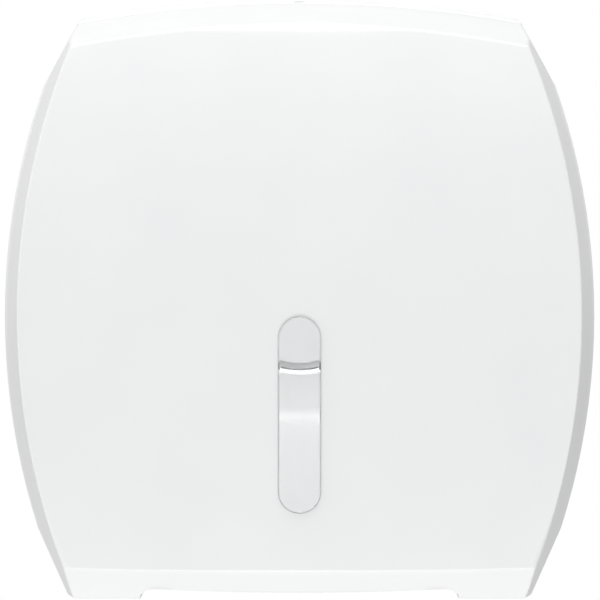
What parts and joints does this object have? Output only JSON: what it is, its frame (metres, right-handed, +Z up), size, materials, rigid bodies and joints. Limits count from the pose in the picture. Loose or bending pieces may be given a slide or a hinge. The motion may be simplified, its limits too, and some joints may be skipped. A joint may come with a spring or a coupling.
{
  "type": "jumbo toilet roll dispenser",
  "caption": "Wall dispenser for a jumbo toilet roll: barrel-faced locking cover hinged at the bottom of a back plate, with a sight window and a spinning roll hub.",
  "frame": {"origin": "on the wall plane, on the axis of the roll spindle, which is also the centre of the four wall screw holes", "axes": "+X to the right as seen from the room, +Y into the wall along the spindle, +Z up"},
  "size_m": [0.2744, 0.126, 0.2758],
  "materials": {
    "white_abs": "glossy injection-moulded ABS with a faint ripple",
    "clear_lens": "clear polished plastic",
    "stainless": "stamped and brushed stainless steel",
    "grey_acetal": "satin acetal",
    "plated_zinc": "bright nickel-plated zinc"
  },
  "bodies": {
    "base": {"back_plate": "white_abs", "hinge_pin_left": "stainless", "hinge_pin_right": "stainless", "spindle": "grey_acetal", "spindle_screws": "stainless", "thrust_washer": "grey_acetal", "hub_washer": "stainless", "hub_screw": "stainless", "lock_barrel": "plated_zinc", "lock_nut": "plated_zinc"},
    "cover": {"front_cover": "white_abs", "sight_window": "clear_lens", "window_retainer": "white_abs", "tear_blade_left": "stainless", "tear_blade_right": "stainless", "blade_rivets": "stainless"},
    "roll_hub": {"hub": "white_abs", "hub_cap": "white_abs", "core_adapter": "white_abs"},
    "lock_core": {"lock_plug": "plated_zinc", "lock_cam": "plated_zinc", "cam_screw": "stainless"}
  },
  "joints": [
    {"name": "cover_hinge", "type": "hinge", "parent": "base", "child": "cover", "pos_m": [0, -0.0275, -0.127], "axis": [1, 0, 0], "range_deg": [0, 90]},
    {"name": "hub_spin", "type": "hinge", "parent": "base", "child": "roll_hub", "pos_m": [0, -0.05, 0], "axis": [0, -1, 0], "continuous": true},
    {"name": "lock_turn", "type": "hinge", "parent": "base", "child": "lock_core", "pos_m": [0, -0.01, 0.129], "axis": [0, 0, 1], "range_deg": [0, 90]}
  ]
}
